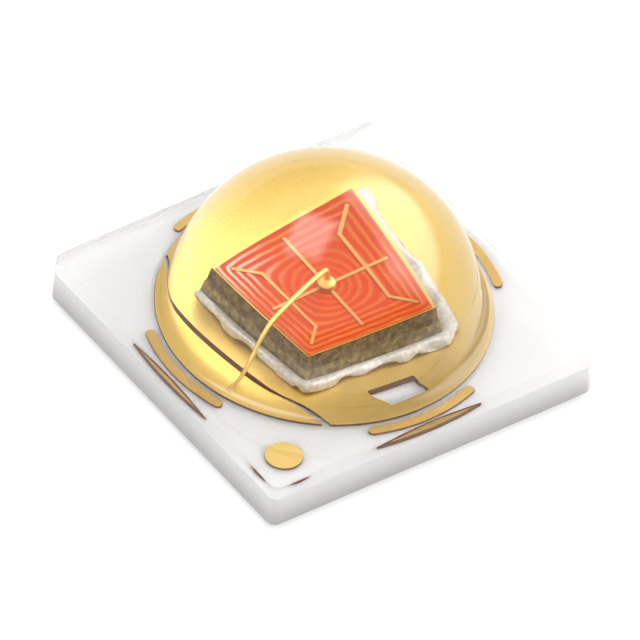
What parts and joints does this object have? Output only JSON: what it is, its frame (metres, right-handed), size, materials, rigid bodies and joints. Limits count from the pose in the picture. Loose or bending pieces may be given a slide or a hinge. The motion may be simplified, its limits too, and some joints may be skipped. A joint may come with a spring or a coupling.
{
  "type": "high power led",
  "caption": "Ceramic surface-mount high power LED: square white plate, gold lands, red chip with a bond wire, clear silicone dome and solder pads.",
  "frame": {"origin": "centre of the underside, in the plane of the solder pads", "axes": "+Z out through the dome, X across the pads from the cathode (-X) to the anode (+X), Y along the pads; the polarity dot is at -X, -Y"},
  "size_m": [0.0034, 0.0034, 0.0019],
  "materials": {
    "ceramic": "fired white alumina, fine matte grain",
    "gold_plate": "matte gold plating on copper",
    "gold_wire": "drawn gold wire, smooth",
    "copper_fill": "plated copper hole filling",
    "silver_paste": "cured silver paste, uneven",
    "diced_chip": "diced germanium, sawn sides",
    "red_crystal": "red emitting crystal, fine ripples",
    "silicone": "clear moulded silicone, glossy"
  },
  "bodies": {
    "root": {"ceramic_substrate": "ceramic", "die_land": "gold_plate", "wire_bond_land": "gold_plate", "arc_mark_left": "gold_plate", "arc_mark_right": "gold_plate", "arc_mark_front": "gold_plate", "arc_mark_back": "gold_plate", "polarity_dot": "gold_plate", "anode_pad": "gold_plate", "cathode_pad": "gold_plate", "thermal_pad": "gold_plate", "anode_via_1": "copper_fill", "anode_via_2": "copper_fill", "cathode_via_1": "copper_fill", "cathode_via_2": "copper_fill", "die_attach": "silver_paste", "chip_carrier": "diced_chip", "chip_mirror": "gold_plate", "light_emitting_layer": "red_crystal", "chip_top_electrode": "gold_plate", "bond_wire": "gold_wire", "silicone_lens": "silicone"}
  },
  "joints": []
}
